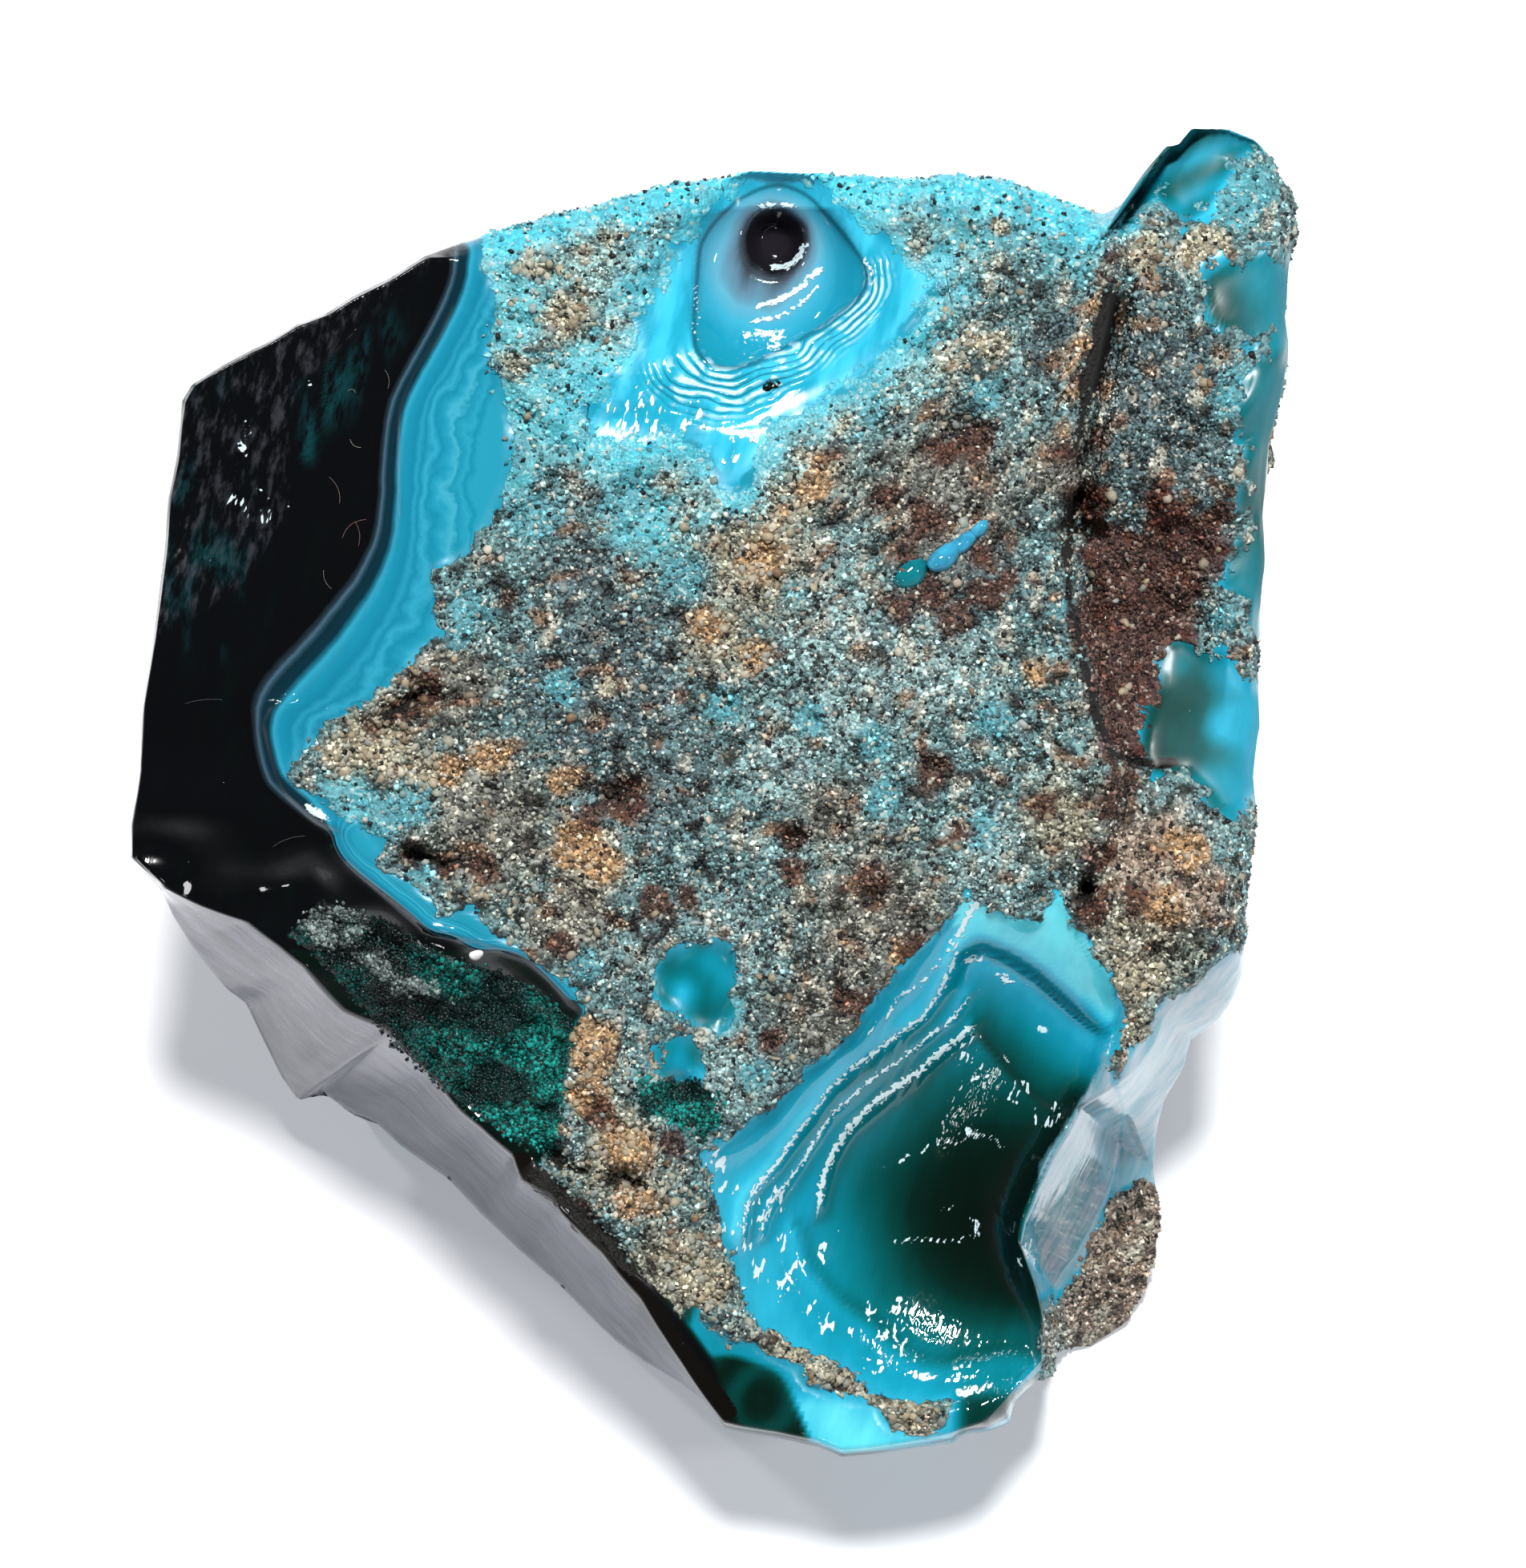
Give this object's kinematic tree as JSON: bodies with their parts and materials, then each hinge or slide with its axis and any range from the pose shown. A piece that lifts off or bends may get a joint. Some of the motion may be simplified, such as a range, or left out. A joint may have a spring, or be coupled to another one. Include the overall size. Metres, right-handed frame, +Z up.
{
  "type": "rough turquoise",
  "caption": "Broken lump of rough turquoise: a flat sand-crusted face with a glossy turquoise eye, a scooped blue-green hollow and dark glassy broken sides, resting on a flat break.",
  "frame": {"origin": "middle of the bounding box at the level of the flat break the lump rests on", "axes": "+Z up; the crusted face leans back 20 degrees, so that it looks up and towards -Y; +X to the right when seen from -Y"},
  "size_m": [0.0886, 0.0954, 0.0574],
  "materials": {
    "turquoise_stone": "sand-crusted, glossy where broken"
  },
  "bodies": {
    "root": {"turquoise_stone": "turquoise_stone"}
  },
  "joints": []
}
